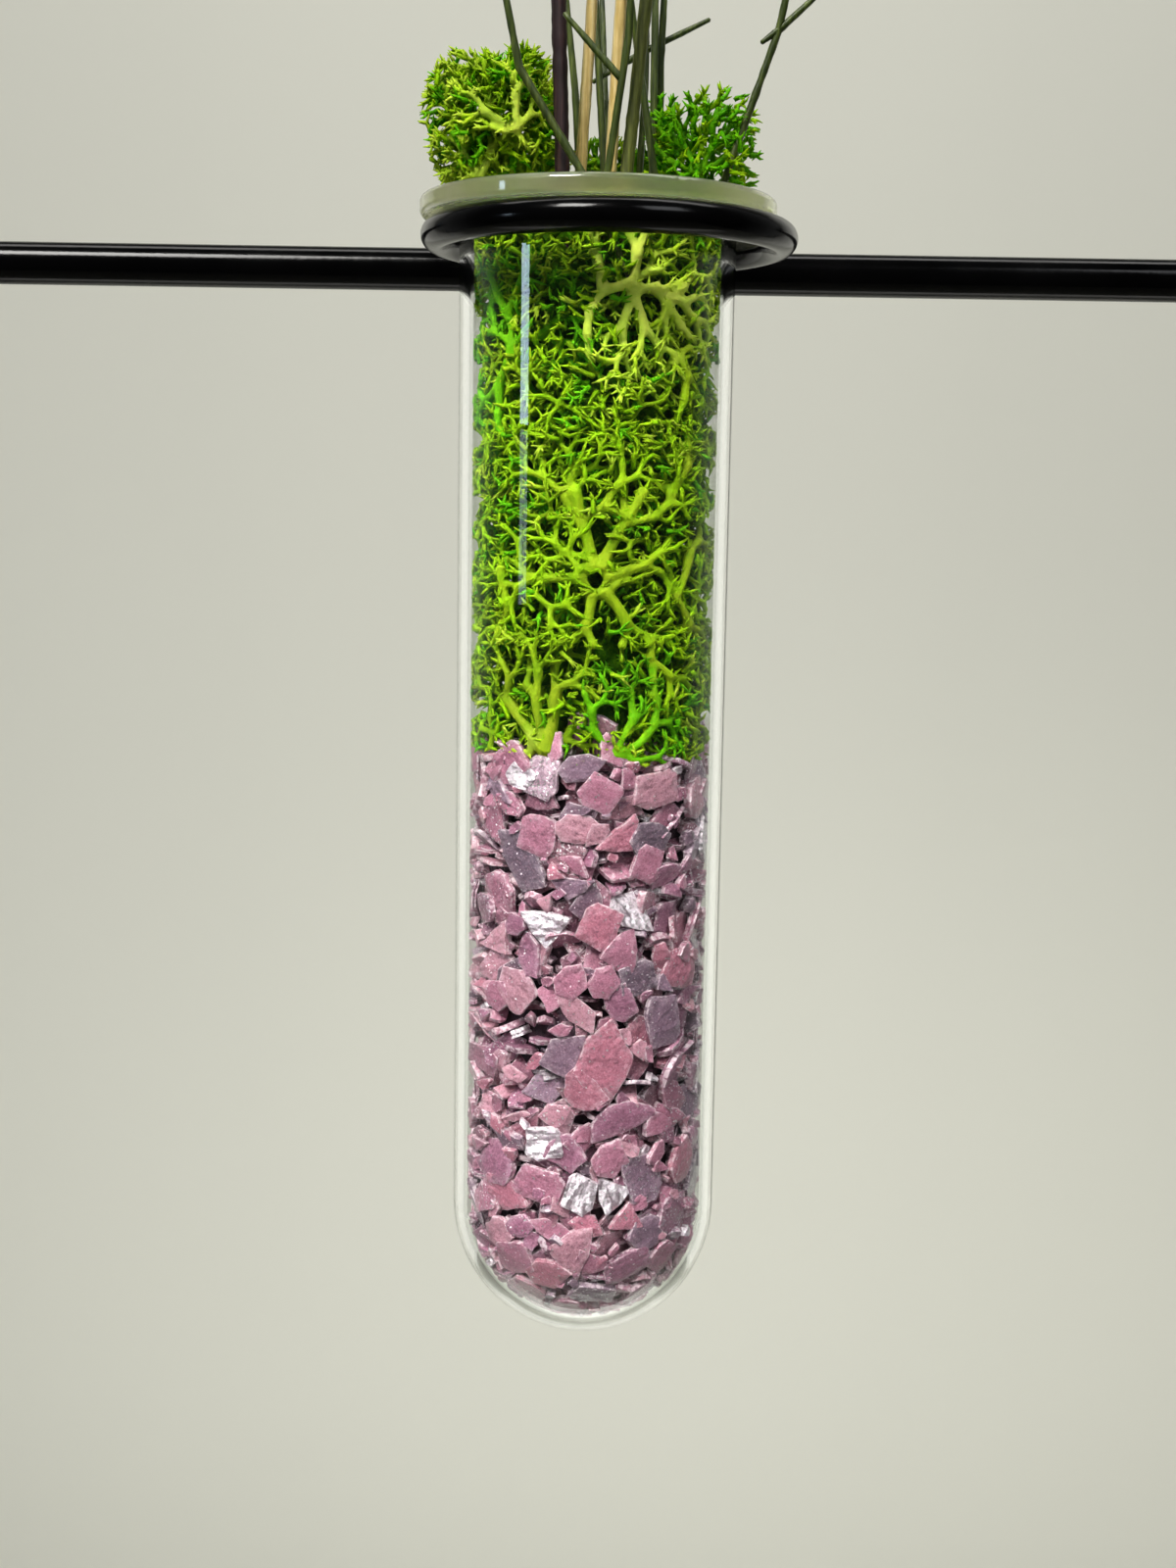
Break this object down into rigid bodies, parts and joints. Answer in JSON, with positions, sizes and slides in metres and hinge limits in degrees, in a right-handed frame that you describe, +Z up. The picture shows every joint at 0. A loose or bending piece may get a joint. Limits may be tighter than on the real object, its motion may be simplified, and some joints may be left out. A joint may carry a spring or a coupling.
{
  "type": "wall test tube vase",
  "caption": "Round-bottomed glass tube hung by its lip in a wire ring on a wall rail, filled with stone chips, forked moss and dry stems.",
  "frame": {"origin": "on the wall, midway between the two screw holes of the rail's tabs", "axes": "+Z up along the tube, +Y into the wall, +X to the right as seen from the room"},
  "size_m": [0.182, 0.0554, 0.187],
  "materials": {
    "black_metal": "gloss black dip coat, slightly lumpy",
    "glass": "clear, fire-polished",
    "stone": "mauve flat chips with a pearly shimmer",
    "moss": "dry preserved lichen moss, lime green, matte",
    "dark_stick": "dark brown bark, dry",
    "straw": "dry straw, faintly ribbed",
    "green_stem": "dried olive green stem"
  },
  "bodies": {
    "holder": {"rail": "black_metal", "tab_left": "black_metal", "tab_right": "black_metal", "ring": "black_metal"},
    "tube": {"glass_tube": "glass", "gravel_core": "stone", "chips_top": "stone", "chips_upper": "stone", "chips_middle": "stone", "chips_lower": "stone", "chips_bottom": "stone"},
    "arrangement": {"moss_upper_left": "moss", "moss_upper_right": "moss", "moss_middle": "moss", "moss_star": "moss", "moss_low_left": "moss", "moss_low_right": "moss", "moss_tuft_left": "moss", "moss_tuft_right": "moss", "moss_tuft_back": "moss", "stick_dark": "dark_stick", "straw_left": "straw", "straw_right": "straw", "green_thick": "green_stem", "green_forked": "green_stem", "green_cross": "green_stem", "green_back_left": "green_stem", "green_back_mid": "green_stem", "green_back_right": "green_stem", "green_pair_left": "green_stem", "green_pair_right": "green_stem", "green_low_right": "green_stem", "green_far_left": "green_stem", "green_far_right": "green_stem"}
  },
  "joints": [
    {"name": "tube_lift", "type": "slide", "parent": "holder", "child": "tube", "axis": [0, 0, 1], "range_m": [0, 0.13]},
    {"name": "arrangement_lift", "type": "slide", "parent": "tube", "child": "arrangement", "axis": [0, 0, 1], "range_m": [0, 0.065]}
  ]
}
